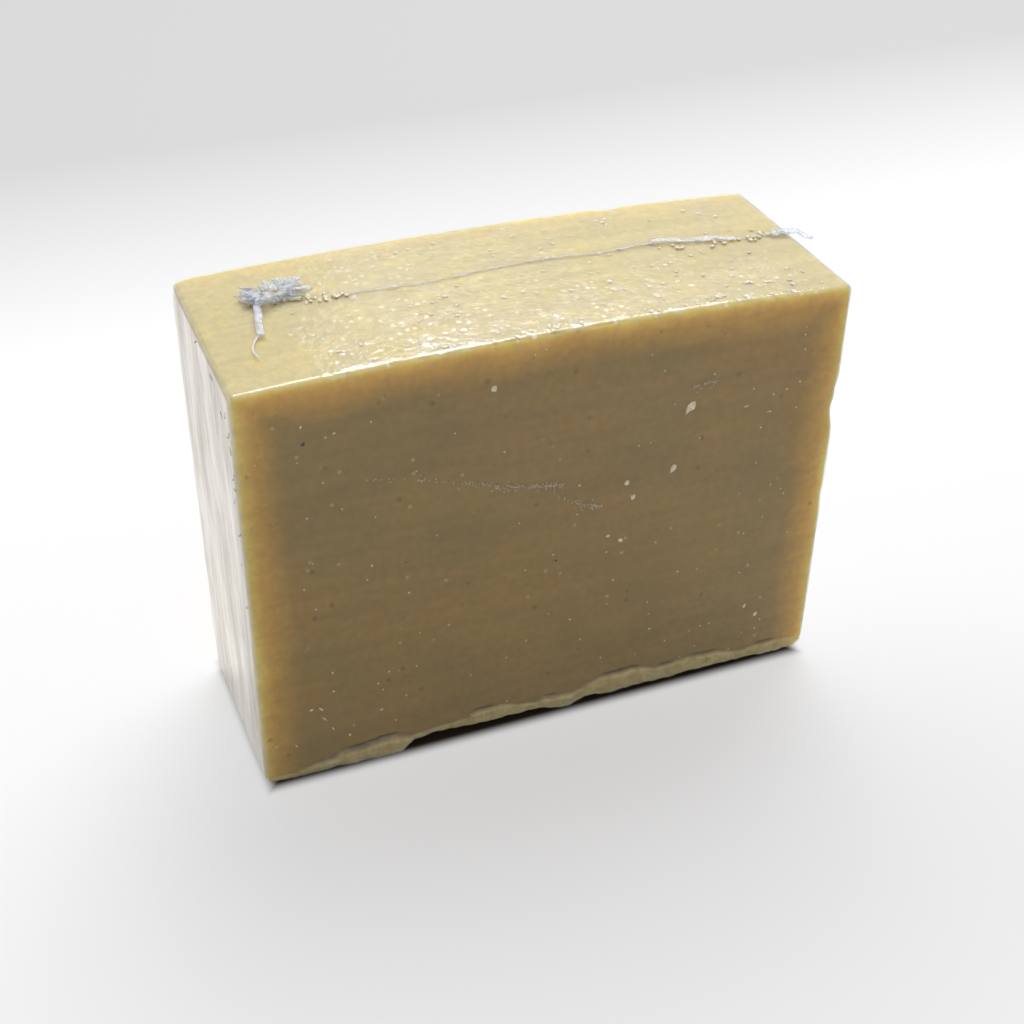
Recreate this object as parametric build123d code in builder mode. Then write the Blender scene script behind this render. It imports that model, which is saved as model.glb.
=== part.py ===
"""A hand-cut bar of soap, shrunk tight into one clear film that is sealed along its top.

Millimetres, +Z up. X runs along the bar, the front face looks to -Y, and the origin is the
middle of the base, on the surface that the bar stands on.
"""
from build123d import *
from math import atan2, degrees
import os

# The bar, as it was cut from its loaf
bar_length = 84.2
bar_depth = 30.0             # across the top
back_lean = 0.9              # how far the back comes in from the top to the base, cut off square
front_height = 62.4          # of the front face, at its two ends
back_height = 63.5           # of the back face, at its two ends
top_crown = 1.1              # how far the top bows up in the middle of its length
cut_edge_radius = 0.7        # edges worn soft by handling
worn_corner = 2.6            # the lower corner that is knocked off, at the right end

# The rough underside, which was the poured top of the loaf
hollow_width = 11.0
hollow_depth = 0.9
hollow_count = 7             # in each of the two rows
hollow_inset = 4.5           # of each row from the face it runs along
hollow_stagger = 3.5         # of one row along the other

# A nick in the right end's front edge
nick_height = 42.0
nick_radius = 1.1
nick_depth = 0.5

# The film
film_wall = 0.1
film_gap = 0.05              # air between the film and the soap

# The welded seam, which stands up along the top and runs out past the right end
seam_lead = 1.0              # how far right of the gather's middle it starts
seam_side = 2.4              # towards the back from the middle of the depth
seam_width = 0.8
seam_height = 0.5
stub_length = 2.6
stub_width = 2.4
stub_height = 1.3

# The gathered end of the film, at the left end of the seam
gather_inset = 11.1          # from the left end
gather_side = 7.0            # towards the back from the middle of the depth
gather_length = 7.0
gather_width = 5.0
gather_height = 1.5
gather_taper = 0.55          # its top against its foot
gather_sink = 1.0            # how far it starts below the top, so that it meets the bowed surface
pleat_count = 7
pleat_length = 3.4
pleat_width = 0.6
pleat_height = 0.8
tail_width = 1.3
tail_length = 12.0
tail_turn = 250.0            # the way the tail points, counted from +X
hook_radius = 1.3
hook_turn = 120.0
tail_proud = 0.35            # of the top, where the tail leaves the gather

top_slope = degrees(atan2(back_height - front_height, bar_depth))
mid_height = (front_height + back_height) / 2
crown_height = mid_height + top_crown
bow_radius = ((bar_length / 2) ** 2 + top_crown**2) / (2 * top_crown)
base_level = film_wall + film_gap
gather_x = -bar_length / 2 + gather_inset
overshoot = 5.0              # of the two bodies that cross to make the block
surface = Plane.XY.offset(mid_height).rotated((top_slope, 0, 0))   # through the ends of the top


def crown_level(x, grow):
    """How high the bowed top stands above its two ends, at x along the bar."""
    return top_crown + grow - bow_radius + (bow_radius**2 - x**2) ** 0.5


def end_outline(grow):
    """The bar seen from its end, at the left: upright front, leaning back, and sides that pass its top."""
    side_top = crown_height + overshoot
    lean = back_lean / mid_height
    front = -bar_depth / 2 - grow
    foot = base_level - grow
    back_at_foot = bar_depth / 2 + grow - lean * (mid_height - foot)
    back_at_top = bar_depth / 2 + grow + lean * (side_top - mid_height)
    with BuildSketch(Plane.YZ.offset(-bar_length / 2 - grow)) as outline:
        with BuildLine():
            Polyline((front, foot), (back_at_foot, foot), (back_at_top, side_top), (front, side_top),
                     close=True)
        make_face()
    return outline.sketch


def crown_outline(side, start, end, grow, foot):
    """The bar seen from the front, cut at one side: the bowed top from start to end, and a straight foot."""
    left = (start, crown_level(start, grow))
    middle = ((start + end) / 2, crown_level((start + end) / 2, grow))
    right = (end, crown_level(end, grow))
    with BuildSketch(Plane(surface.origin, x_dir=(1, 0, 0), z_dir=-surface.y_dir).offset(-side)) as outline:
        with BuildLine():
            Polyline(right, (end, foot), (start, foot), left)
            ThreePointArc(left, middle, right)
        make_face()
    return outline.sketch


def cut_block(grow):
    """The bar as a plain block with soft edges, grown evenly all round by a small clearance."""
    half = bar_length / 2 + grow
    with BuildPart() as block:
        extrude(end_outline(grow), amount=2 * half)
        crown = crown_outline(0, -half - overshoot, half + overshoot, grow, -crown_height - overshoot)
        extrude(crown, amount=bar_depth, both=True, mode=Mode.INTERSECT)
        foot_edges = block.edges().filter_by(Axis.Y).group_by(Axis.Z)[0]
        chamfer(foot_edges.sort_by(Axis.X)[-1], length=worn_corner)
        fillet(block.edges(), radius=cut_edge_radius + grow)
    return block.part


# soap_bar: the soap itself, one solid
hollow_radius = (hollow_width**2 / 4 + hollow_depth**2) / (2 * hollow_depth)
hollow_pitch = bar_length / hollow_count
with BuildPart() as soap_bar:
    add(cut_block(0))
    for side in (-1, 1):
        for number in range(hollow_count):
            along = (number - (hollow_count - 1) / 2) * hollow_pitch - side * hollow_stagger / 2
            across = side * (bar_depth / 2 - hollow_inset)
            with Locations((along, across, base_level + hollow_depth - hollow_radius)):
                Sphere(hollow_radius, mode=Mode.SUBTRACT)
    nick_out = nick_radius - nick_depth
    with Locations((bar_length / 2 + nick_out, -bar_depth / 2 - nick_out, nick_height)):
        Sphere(nick_radius, mode=Mode.SUBTRACT)
soap_bar.part.label = "soap_bar"

# film_wrap: the clear film, one shell with its seam, gathered end, tail and stub
film_out = film_gap + film_wall
with BuildPart() as film_wrap:
    add(cut_block(film_out))

    # the seam, between the gather and the right end
    seam = crown_outline(seam_side, gather_x + seam_lead, bar_length / 2, film_out + seam_height, -top_crown)
    extrude(seam, amount=seam_width / 2, both=True)

    # the stub, which stands out past the right end, just under the top
    stub_plane = surface.offset(film_out - stub_height)
    with BuildSketch(stub_plane):
        with Locations((bar_length / 2 + stub_length / 2 - stub_width / 2, seam_side)):
            RectangleRounded(stub_length + stub_width, stub_width, stub_width / 3)
    extrude(amount=stub_height)

    # the gather: a drawn-in tuft with pleats that fan out over the top
    gather_foot = surface.offset(crown_level(gather_x, 0) - gather_sink)
    with BuildSketch(gather_foot):
        with Locations((gather_x, gather_side)):
            Ellipse(gather_length / 2, gather_width / 2)
    with BuildSketch(gather_foot.offset(gather_sink + film_out + gather_height)):
        with Locations((gather_x, gather_side)):
            Ellipse(gather_taper * gather_length / 2, gather_taper * gather_width / 2)
    loft()
    with BuildSketch(gather_foot):
        with Locations((gather_x, gather_side)):
            with PolarLocations(gather_width / 2, pleat_count):
                Rectangle(pleat_length, pleat_width)
    extrude(amount=gather_sink + film_out + pleat_height)

    # the tail: a loose strip that ends in a hook
    tail_start = Vector(gather_x, gather_side)
    tail_end = tail_start + Vector(tail_length, 0).rotate(Axis.Z, tail_turn)
    hook_centre = tail_end + Vector(hook_radius, 0).rotate(Axis.Z, tail_turn + 90)
    with BuildSketch(gather_foot):
        with BuildLine():
            Line((tail_start.X, tail_start.Y), (tail_end.X, tail_end.Y))
            CenterArc((hook_centre.X, hook_centre.Y), hook_radius, tail_turn - 90, hook_turn)
        trace(line_width=tail_width)
    extrude(amount=gather_sink + film_out + tail_proud)

    # the room for the soap
    add(cut_block(film_gap), mode=Mode.SUBTRACT)
film_wrap.part.label = "film_wrap"

os.makedirs("parts", exist_ok=True)
export_step(soap_bar.part, "parts/soap_bar.step")
export_step(film_wrap.part, "parts/film_wrap.step")

for node in (soap_bar, film_wrap):
    box = node.part.bounding_box()
    print(node.part.label, "solids", len(node.part.solids()), "volume", round(node.part.volume, 1),
          "size", [round(v, 2) for v in box.size])
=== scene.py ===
# %% [markdown]
# # A bar of soap in clear shrink film
# The real thing is two pieces: a block of soap, cut by hand from a loaf, and one clear film that was
# welded along the top and shrunk tight with hot air. This script builds their looks around a packed
# CAD frame. Everything is in metres, and the frame says where each piece goes.

# %% Load the frame
import math

import bmesh
import bpy
import numpy as np
from mathutils import Matrix, Vector, noise


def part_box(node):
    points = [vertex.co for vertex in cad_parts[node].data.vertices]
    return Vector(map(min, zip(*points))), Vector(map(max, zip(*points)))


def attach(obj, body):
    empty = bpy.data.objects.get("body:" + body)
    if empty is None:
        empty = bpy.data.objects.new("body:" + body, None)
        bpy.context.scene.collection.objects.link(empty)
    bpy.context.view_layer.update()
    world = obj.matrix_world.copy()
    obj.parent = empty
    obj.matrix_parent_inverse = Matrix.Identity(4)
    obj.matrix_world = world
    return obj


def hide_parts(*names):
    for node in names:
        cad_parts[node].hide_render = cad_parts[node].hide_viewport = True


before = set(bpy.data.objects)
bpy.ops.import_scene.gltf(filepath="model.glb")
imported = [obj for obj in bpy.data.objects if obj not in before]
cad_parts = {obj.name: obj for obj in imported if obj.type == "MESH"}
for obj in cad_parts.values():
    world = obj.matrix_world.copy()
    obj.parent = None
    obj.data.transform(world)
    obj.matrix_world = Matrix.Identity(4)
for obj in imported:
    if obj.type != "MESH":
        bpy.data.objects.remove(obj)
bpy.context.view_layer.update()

MM = 0.001
soap_low, soap_high = (np.array(corner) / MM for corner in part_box("soap_bar"))
film_low, film_high = (np.array(corner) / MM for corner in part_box("film_wrap"))
print("soap, mm:", soap_low.round(2), soap_high.round(2))
print("film, mm:", film_low.round(2), film_high.round(2))

# %% [markdown]
# ## Small helpers
# Shader trees and geometry trees are wired in the same way, so one helper adds a node, sets what is
# plain and links what comes from another node. That is shorter than a line for every link, and a
# material then reads like a formula. Meshes are made from lists of points and faces, and every
# finished piece stays at the origin with its place in its own points.


# %% Helpers for nodes
def add_node(tree, kind, inputs=None, **settings):
    """Adds a node. An input may be a plain value or another node's output socket."""
    made = tree.nodes.new(kind)
    for name, value in settings.items():
        setattr(made, name, value)
    for name, value in (inputs or {}).items():
        if isinstance(value, bpy.types.NodeSocket):
            tree.links.new(value, made.inputs[name])
        else:
            made.inputs[name].default_value = value
    return made


def math_node(tree, operation, *values, clamp=False):
    """One step of arithmetic on numbers or sockets; returns its output socket."""
    inputs = dict(enumerate(values))
    return add_node(tree, "ShaderNodeMath", inputs, operation=operation, use_clamp=clamp).outputs[0]


def plus(tree, first, second, clamp=False):
    return math_node(tree, "ADD", first, second, clamp=clamp)


def times(tree, first, second):
    return math_node(tree, "MULTIPLY", first, second)


def band(tree, value, low, high, start=0.0, end=1.0):
    """Maps value from low..high to start..end with a soft step."""
    inputs = {"Value": value, "From Min": low, "From Max": high, "To Min": start, "To Max": end}
    return add_node(tree, "ShaderNodeMapRange", inputs, interpolation_type="SMOOTHSTEP").outputs["Result"]


def mix_colour(tree, factor, first, second, blend="MIX"):
    """Mixes two colours; each may be a socket or a plain colour."""
    made = add_node(tree, "ShaderNodeMix", {0: factor}, data_type="RGBA", blend_type=blend)
    for slot, value in ((6, first), (7, second)):
        if isinstance(value, bpy.types.NodeSocket):
            tree.links.new(value, made.inputs[slot])
        else:
            made.inputs[slot].default_value = (*value, 1.0)
    return made.outputs[2]


def colour_ramp(tree, value, stops):
    """Turns a value into a colour by a list of positions and their colours, from low to high."""
    ramp = add_node(tree, "ShaderNodeValToRGB", {"Fac": value})
    made = ramp.color_ramp.elements
    made[0].position, made[1].position = stops[0][0], stops[-1][0]
    for position, _ in stops[1:-1]:
        made.new(position)
    for stop, (_, shade) in zip(made, stops):
        stop.color = (*shade, 1)
    return ramp.outputs["Color"]


def new_material(name):
    """An empty material; returns it with its tree and its output node."""
    material = bpy.data.materials.new(name)
    material.use_nodes = True
    tree = material.node_tree
    tree.nodes.clear()
    return material, tree, tree.nodes.new("ShaderNodeOutputMaterial")


def object_space(tree, scale=(1.0, 1.0, 1.0)):
    """Object coordinates, stretched along each axis."""
    source = tree.nodes.new("ShaderNodeTexCoord").outputs["Object"]
    return add_node(tree, "ShaderNodeMapping", {"Vector": source, "Scale": scale}).outputs["Vector"]


def noise_field(tree, place, scale, detail=3.0, rough=0.5):
    """A soft random field from 0 to 1."""
    inputs = {"Vector": place, "Scale": scale, "Detail": detail, "Roughness": rough}
    return add_node(tree, "ShaderNodeTexNoise", inputs).outputs["Fac"]


def attribute(tree, name):
    """A number stored on the mesh's points."""
    return add_node(tree, "ShaderNodeAttribute", attribute_name=name).outputs["Fac"]


def seen_rays(tree):
    """1 where the camera sees a surface, straight or by way of the film, and 0 where it only gives light."""
    rays = tree.nodes.new("ShaderNodeLightPath").outputs
    direct = math_node(tree, "MAXIMUM", rays["Is Camera Ray"], rays["Is Glossy Ray"])
    return math_node(tree, "MAXIMUM", direct, rays["Is Transmission Ray"])


print("node helpers ready")


# %% Helpers for meshes
def add_object(name, data):
    """A new object in the scene."""
    made = bpy.data.objects.new(name, data)
    bpy.context.collection.objects.link(made)
    return made


def make_piece(name, points_mm, faces, material, smooth=True, **point_values):
    """A mesh object from points in millimetres, with named numbers stored on its points."""
    mesh = bpy.data.meshes.new(name)
    mesh.from_pydata((np.asarray(points_mm) * MM).tolist(), [], faces)
    for label, values in point_values.items():
        stored = mesh.attributes.new(label, "FLOAT", "POINT")
        stored.data.foreach_set("value", np.asarray(values, dtype=np.float32))
    mesh.materials.append(material)
    mesh.polygons.foreach_set("use_smooth", [smooth] * len(mesh.polygons))
    mesh.update()
    return add_object(name, mesh)


def finish_piece(piece, node="film_wrap"):
    """Puts a piece on the root body and hides the CAD node it stands for; most stand for the film."""
    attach(piece, "root")
    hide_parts(node)
    triangles = sum(len(face.vertices) - 2 for face in piece.data.polygons)
    print(piece.name, "triangles:", triangles)


def step(value, low, high):
    """A soft step from 0 at low to 1 at high, for arrays and plain numbers."""
    t = np.clip((value - low) / (high - low), 0.0, 1.0)
    return t * t * (3 - 2 * t)


def noise_at(points_mm, size, shift=0.0):
    """Random relief from -1 to 1 at each point, with lumps of about that size in millimetres."""
    scaled = (np.asarray(points_mm) / size + shift).tolist()
    return np.array([noise.noise(place) for place in scaled])


print("mesh helpers ready")

# %% [markdown]
# ## The block that both pieces follow
# The soap and its film are the same shape, one just outside the other, so one function makes both.
# It lays a grid over a square block and rounds its edges. The block was cut by hand, so each corner
# is then moved a little off square, and the top is bowed up in the middle of its length. A grid with
# even squares is the best start here, because the fine relief that comes later moves its points.

# %% Sizes of the block
end_height = 63.0                # of the square block, before its corners are moved
top_crown = 1.1                  # how far the top bows up in the middle
worn_corner = 2.6                # knocked off the lower right corner
edge_steps = 3                   # rows of faces over each half of a rounded edge
fine_reach = 6.0                 # up from the foot, where the grid is twice as fine
film_lift = 0.13                 # the film's distance outside the soap
corner_shifts = {                # (end, side, level): how far that corner is from square
    (-1, -1, 1): (0.05, 0.50, -0.75),
    (1, -1, 1): (-0.05, 0.05, -1.00),
    (1, 1, 1): (-1.00, -0.15, 0.40),
    (-1, 1, 1): (0.02, -0.10, 1.00),
    (-1, -1, -1): (0.35, 1.25, 0.0),
    (1, -1, -1): (-0.05, 0.65, 0.0),
    (-1, 1, -1): (0.35, -1.55, 0.0),
    (1, 1, -1): (-0.35, -1.25, 0.0),
}
outer_half = np.array([-film_low[0], (film_high[1] - film_low[1]) / 2, end_height / 2])
print("half sizes of the square block, mm:", outer_half.round(2))


# %% The grid over a rounded block
def axis_lines(half, radius, spacing, fine_share=1.0):
    """Grid lines from -half to half, finer near the low end, with extra ones where the edge turns."""
    flat = half - radius
    fine_top = -flat + fine_reach
    fine = np.arange(-flat, fine_top, spacing * fine_share)
    middle = np.concatenate([fine, np.linspace(fine_top, flat, round((flat - fine_top) / spacing) + 1)])
    turning = flat + radius * np.tan(np.linspace(0, math.pi / 4, edge_steps + 1)[1:])
    return np.concatenate([-turning[::-1], middle, turning])


def block_surface(half, radius, spacing):
    """Points, outward directions and quads over a block with rounded edges, centred on the origin."""
    lines = [axis_lines(size, radius, spacing, share) for size, share in zip(half, (1.0, 1.0, 0.5))]
    index, points, quads = {}, [], []

    def point_at(axis, end, across, a, up, b):
        key = [0, 0, 0]
        key[axis], key[across], key[up] = end, a, b
        key = tuple(key)
        if key not in index:
            index[key] = len(points)
            points.append([lines[i][key[i]] for i in range(3)])
        return index[key]

    for axis in range(3):
        across, up = (axis + 1) % 3, (axis + 2) % 3
        for end, outward in ((0, -1), (len(lines[axis]) - 1, 1)):
            for a in range(len(lines[across]) - 1):
                for b in range(len(lines[up]) - 1):
                    ring = ((a, b), (a + 1, b), (a + 1, b + 1), (a, b + 1))[::outward]
                    quads.append([point_at(axis, end, across, i, up, j) for i, j in ring])
    points = np.array(points)
    core = np.clip(points, radius - half, half - radius)
    outward = points - core
    outward /= np.linalg.norm(outward, axis=1, keepdims=True)
    return core + radius * outward, outward, quads


def hand_cut(points, half):
    """Moves the block's corners off square, bows its top and stands it on the floor."""
    share = points / half
    moved = points + [0, 0, half[2]]
    for corner, shift in corner_shifts.items():
        weight = np.prod([(1 + corner[i] * share[:, i]) / 2 for i in range(3)], axis=0)
        moved += weight[:, None] * np.array(shift)
    moved[:, 2] += top_crown * (1 - share[:, 0] ** 2) * (1 + share[:, 2]) / 2
    return moved


def top_level(x, y):
    """The height of the film's top at a place on it, in millimetres."""
    right, back = (1 + x / outer_half[0]) / 2, (1 + y / outer_half[1]) / 2
    level = end_height + top_crown * (1 - (x / outer_half[0]) ** 2)
    for (end, side, up), shift in corner_shifts.items():
        if up > 0:
            level += shift[2] * (right if end > 0 else 1 - right) * (back if side > 0 else 1 - back)
    return level


# %% [markdown]
# ## The rough foot
# The bar stands on what was the poured top of the loaf. It is lumpy there, and a thin ashy crust
# turns up onto the faces in rounded flakes with a crack above each. It could be sculpted by hand,
# but as a line through a few chosen heights it can be changed by a number. The gap under the front
# edge is one such line and the crust's upper rim is another.

# %% Sizes of the foot
foot_line = [                    # along the bar, and how high the front edge stands there
    (-42.2, 0.7), (-40.5, 0.15), (-36.0, 0.0), (-31.0, 0.15), (-26.0, 0.0), (-22.4, 0.1),
    (-20.3, 1.6), (-16.5, 2.1), (-11.5, 1.6), (-5.5, 1.5), (-0.8, 1.5), (2.0, 0.55), (4.0, 0.6),
    (6.0, 1.7), (9.5, 0.95), (15.0, 1.15), (19.5, 0.9), (23.0, 1.3), (28.0, 1.15), (33.0, 0.95),
    (38.5, 0.9), (42.2, 1.1),
]
crust_top = [                    # along the bar, how far up the crust comes, how far it stands forward
    (-42.2, 0.8, 0.1), (-38.5, 1.2, 0.3), (-35.0, 1.9, 0.5), (-32.0, 2.1, 0.7), (-30.5, 3.0, 1.0),
    (-24.0, 3.6, 1.15), (-21.6, 2.7, 1.0), (-20.6, 1.9, 0.2), (-16.0, 2.3, 0.15), (-12.8, 2.7, 0.2),
    (-11.8, 3.7, 0.45), (-7.0, 4.1, 0.5), (-4.5, 3.0, 0.3), (-1.6, 2.5, 0.3), (-0.6, 3.3, 0.8),
    (3.4, 2.9, 0.8), (4.4, 2.8, 0.35), (6.4, 3.9, 0.5), (9.0, 4.6, 0.6), (14.4, 4.7, 0.6), (17.0, 3.6, 0.35),
    (22.0, 4.1, 0.55), (27.0, 3.8, 0.5), (31.0, 2.5, 0.2), (35.0, 3.2, 0.5), (40.0, 2.9, 0.45),
    (42.2, 1.5, 0.1),
]
crust_cracks = [                 # left end, right end, and the height of a crack at each of them
    (-31.0, -22.6, 2.9, 3.9), (-12.0, -7.6, 4.1, 4.4), (8.3, 14.6, 4.9, 5.0), (-1.0, 1.6, 3.1, 3.6),
    (17.5, 20.5, 3.9, 4.2), (23.0, 27.5, 4.3, 4.1), (33.5, 37.0, 3.3, 3.5),
]
foot_reach = 4.5                 # how far up the faces the uneven foot is felt
highest_gap = 2.2
dents = [                        # where, radius and depth of knocks in the edges
    ((42.2, -15.0, 43.0), 2.3, 0.55), ((42.2, -15.0, 46.4), 1.2, 0.25), ((-42.2, -14.6, 50.2), 0.6, 0.30),
    ((-42.2, -14.6, 48.6), 0.5, 0.22), ((-42.2, -14.6, 56.0), 0.7, 0.15), ((42.2, -15.0, 28.5), 1.4, 0.18),
    ((-42.2, 15.0, 63.5), 1.6, 0.35), ((20.0, 15.0, 64.2), 1.5, 0.2),
]


def foot_gap(points):
    """How far the underside stands over the floor at each point."""
    places, heights = zip(*foot_line)
    front = np.interp(points[:, 0], places, heights) + 0.32 * noise_at(points * [1, 0, 0], 1.1, 5.2)
    flat = points * [1, 1, 0]
    lumps = 0.75 + 0.9 * noise_at(flat, 7.0, 3.1) + 0.35 * noise_at(flat, 2.4, 8.6)
    share = step(points[:, 1], -14.5, -9.0)
    return np.clip((1 - share) * front + share * lumps, 0.0, highest_gap)


def flake_relief(points, outward):
    """How far the crust stands out of the front and back, where it is, and where it is cracked."""
    stand, crust, crack = (np.zeros(len(points)) for _ in range(3))
    places, heights, reaches = zip(*crust_top)
    wobble = 0.45 * noise_at(points, 1.7, 5.7) + 0.3 * noise_at(points, 0.8, 1.9)
    for side, stretch in ((-1, 1.0), (1, -1.0)):
        facing = step(side * outward[:, 1], 0.3, 0.8)
        x, z = points[:, 0] * stretch + wobble, points[:, 2]
        rim = np.interp(x, places, heights) + 0.5 * wobble
        below = step(rim - z, -0.1, 0.2) * facing
        forward = np.interp(x, places, reaches) * (0.9 + 0.35 * noise_at(points * [1, 1, 0.6], 2.0, 6.6))
        under = np.clip((rim - z) / np.maximum(rim, 0.5), 0, 1)
        stand += below * forward * (1 - 0.75 * under**3)
        crust += below * (0.75 + 0.25 * step(noise_at(points, 2.2, 9.1), -0.4, 0.2))
        for left, right, low, high in crust_cracks:
            along = np.clip((x - left) / (right - left), 0, 1)
            line = low + (high - low) * along + 0.25 * wobble
            taper = step(np.minimum(x - left, right - x), -0.2, 1.2)
            crack = np.maximum(crack, facing * taper * np.exp(-(((z - line) / 0.17) ** 2)))
    return stand, crust, crack


def shape_foot(points, outward, half_x, corner_cut):
    """Lifts the underside onto its lumps, stands the crust forward and knocks the corner off."""
    lift = foot_gap(points) * np.clip(1 - points[:, 2] / foot_reach, 0, 1) ** 1.5
    stand, crust, crack = flake_relief(points, outward)
    points = points + outward * [0, 1, 0] * stand[:, None]
    points[:, 2] += lift
    ragged = corner_cut + 0.35 * noise_at(points * [0, 1, 1], 2.5, 4.4)
    over = np.clip(ragged - (half_x - points[:, 0]) - points[:, 2], 0, None) / 2
    points[:, 0] -= over
    points[:, 2] += over
    for place, radius, depth in dents:
        distance = np.linalg.norm(points - place, axis=1)
        points -= outward * (depth * np.exp(-((distance / radius) ** 2)))[:, None]
    crust = np.maximum(crust, step(-outward[:, 2], 0.5, 0.9))
    crust = np.maximum(crust, step(over, 0.05, 0.4) * 0.6)
    return points, crust, crack


print("cracks in the crust:", len(crust_cracks), "knocks in the edges:", len(dents))

# %% [markdown]
# ## The soap's finish
# Soap lets light into its skin, so it is shaded with subsurface scattering, which makes the edges
# glow where light comes in from the top and the ends. Painted colours would need an image for each
# face, but here the colour belongs to the block: brown in its middle and yellow near its edges, where
# the yellow is a painted glow that adds to the scattering's glow. Each point stores how far in from the
# edges it lies, and a colour ramp turns that depth into colour. Specks, mottling and the ashy crust are
# mixed in on top, and the cracks get painted shade.

# %% Colours of the soap
rim_depth = 12.0                 # millimetres over which the colour runs from the rim to the middle
# The rim and its fade are a painted glow: light coming in through the edges, painted as colour.
painted_rim_glow = (0.780, 0.620, 0.170)
painted_glow_fade = (0.610, 0.372, 0.078)
soap_inner = (0.395, 0.248, 0.066)
soap_middle = (0.372, 0.243, 0.072)
soap_olive = (0.322, 0.230, 0.068)
soap_red = (0.425, 0.255, 0.085)
soap_bloom = (0.605, 0.505, 0.245)
crust_ash = (0.600, 0.490, 0.225)
# Dark for the soap's specks, and painted shade in the crust's cracks.
dark_specks_and_crack_shade = (0.060, 0.042, 0.018)


def soap_finish():
    """The material of the cut block."""
    material, tree, output = new_material("olive soap")
    place = object_space(tree)
    bloom, crust = attribute(tree, "bloom"), attribute(tree, "crust")
    # Near the edges the ramp is a painted glow; its brown middle is the soap's own colour.
    wander = times(tree, math_node(tree, "SUBTRACT", noise_field(tree, place, 160), 0.5), 0.22)
    depth = plus(tree, attribute(tree, "loaf_depth"), wander)
    ramp = colour_ramp(tree, depth, [
        (0.0, painted_rim_glow), (0.20, painted_glow_fade), (0.50, soap_inner), (0.85, soap_middle)])
    dried = times(tree, bloom, band(tree, noise_field(tree, place, 140, 3), 0.3, 0.6, 0.75, 1.0))
    colour = mix_colour(tree, dried, ramp, soap_bloom)
    inner = band(tree, depth, 0.2, 0.6)
    olive = band(tree, noise_field(tree, place, 55, 4, 0.6), 0.42, 0.62, 0.0, 0.75)
    colour = mix_colour(tree, times(tree, olive, inner), colour, soap_olive)
    red = band(tree, noise_field(tree, object_space(tree, (1, 1, 1.7)), 90, 3, 0.6), 0.52, 0.72, 0.0, 0.35)
    colour = mix_colour(tree, times(tree, red, inner), colour, soap_red)
    grain = band(tree, noise_field(tree, place, 900, 3, 0.65), 0.3, 0.7, 0.93, 1.06)
    wire = band(tree, noise_field(tree, object_space(tree, (0.10, 1, 1)), 420, 3, 0.6), 0.3, 0.7, 0.94, 1.05)
    grain = times(tree, grain, wire)
    grey = add_node(tree, "ShaderNodeCombineColor", {0: grain, 1: grain, 2: grain}).outputs[0]
    colour = mix_colour(tree, 1.0, colour, grey, "MULTIPLY")
    cells = add_node(tree, "ShaderNodeTexVoronoi", {"Vector": place, "Scale": 420.0}, feature="F1")
    lot = add_node(tree, "ShaderNodeSeparateColor", {"Color": cells.outputs["Color"]})
    chosen = math_node(tree, "GREATER_THAN", lot.outputs[0], 0.86)
    dark = times(tree, band(tree, cells.outputs["Distance"], 0.22, 0.1), chosen)
    dark = times(tree, dark, band(tree, bloom, 0.1, 0.6, 1.0, 0.15))
    colour = mix_colour(tree, times(tree, dark, 0.35), colour, dark_specks_and_crack_shade)
    chosen = math_node(tree, "GREATER_THAN", lot.outputs[1], 0.93)
    pale = times(tree, band(tree, cells.outputs["Distance"], 0.16, 0.06), chosen)
    colour = mix_colour(tree, times(tree, pale, 0.6), colour, crust_ash)
    ashy = band(tree, noise_field(tree, place, 700, 4, 0.7), 0.30, 0.60, 0.35, 1.0)
    colour = mix_colour(tree, times(tree, ashy, crust), colour, crust_ash)
    # The cracks are painted nearly black: painted shade in the recess above each flake.
    colour = mix_colour(tree, times(tree, attribute(tree, "crack"), 0.85), colour, dark_specks_and_crack_shade)

    drag = noise_field(tree, object_space(tree, (0.12, 1, 1)), 900, 3, 0.6)
    lumps = times(tree, noise_field(tree, place, 520, 4, 0.65), crust)
    relief = plus(tree, noise_field(tree, place, 1500, 3, 0.6), drag)
    relief = plus(tree, relief, times(tree, lumps, 9.0))
    bump = add_node(tree, "ShaderNodeBump", {"Height": relief, "Strength": 0.35, "Distance": 0.00008})
    rough = band(tree, noise_field(tree, place, 300, 2), 0.3, 0.7, 0.42, 0.6)
    skin = add_node(tree, "ShaderNodeBsdfPrincipled", {
        "Base Color": colour, "Roughness": rough, "Normal": bump.outputs["Normal"],
        "Subsurface Weight": 0.9, "Subsurface Radius": (1.0, 0.72, 0.22), "Subsurface Scale": 0.0055,
        "Specular IOR Level": 0.35})
    tree.links.new(skin.outputs[0], output.inputs["Surface"])
    return material


soap_material = soap_finish()
print("soap material nodes:", len(soap_material.node_tree.nodes))

# %% [markdown]
# ## The soap
# The block's grid is finer than a millimetre, so the waves that the cutting wire left, the soft
# knocks in the edges and the crust are real shape and not only bump. Relief goes inwards, so that it
# never meets the film, which lies an eighth of a millimetre outside.

# %% Make the soap
soap_half = outer_half - [film_lift, film_lift, 0.0]
soap_spacing = 0.55
soap_edge = 0.7


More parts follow.
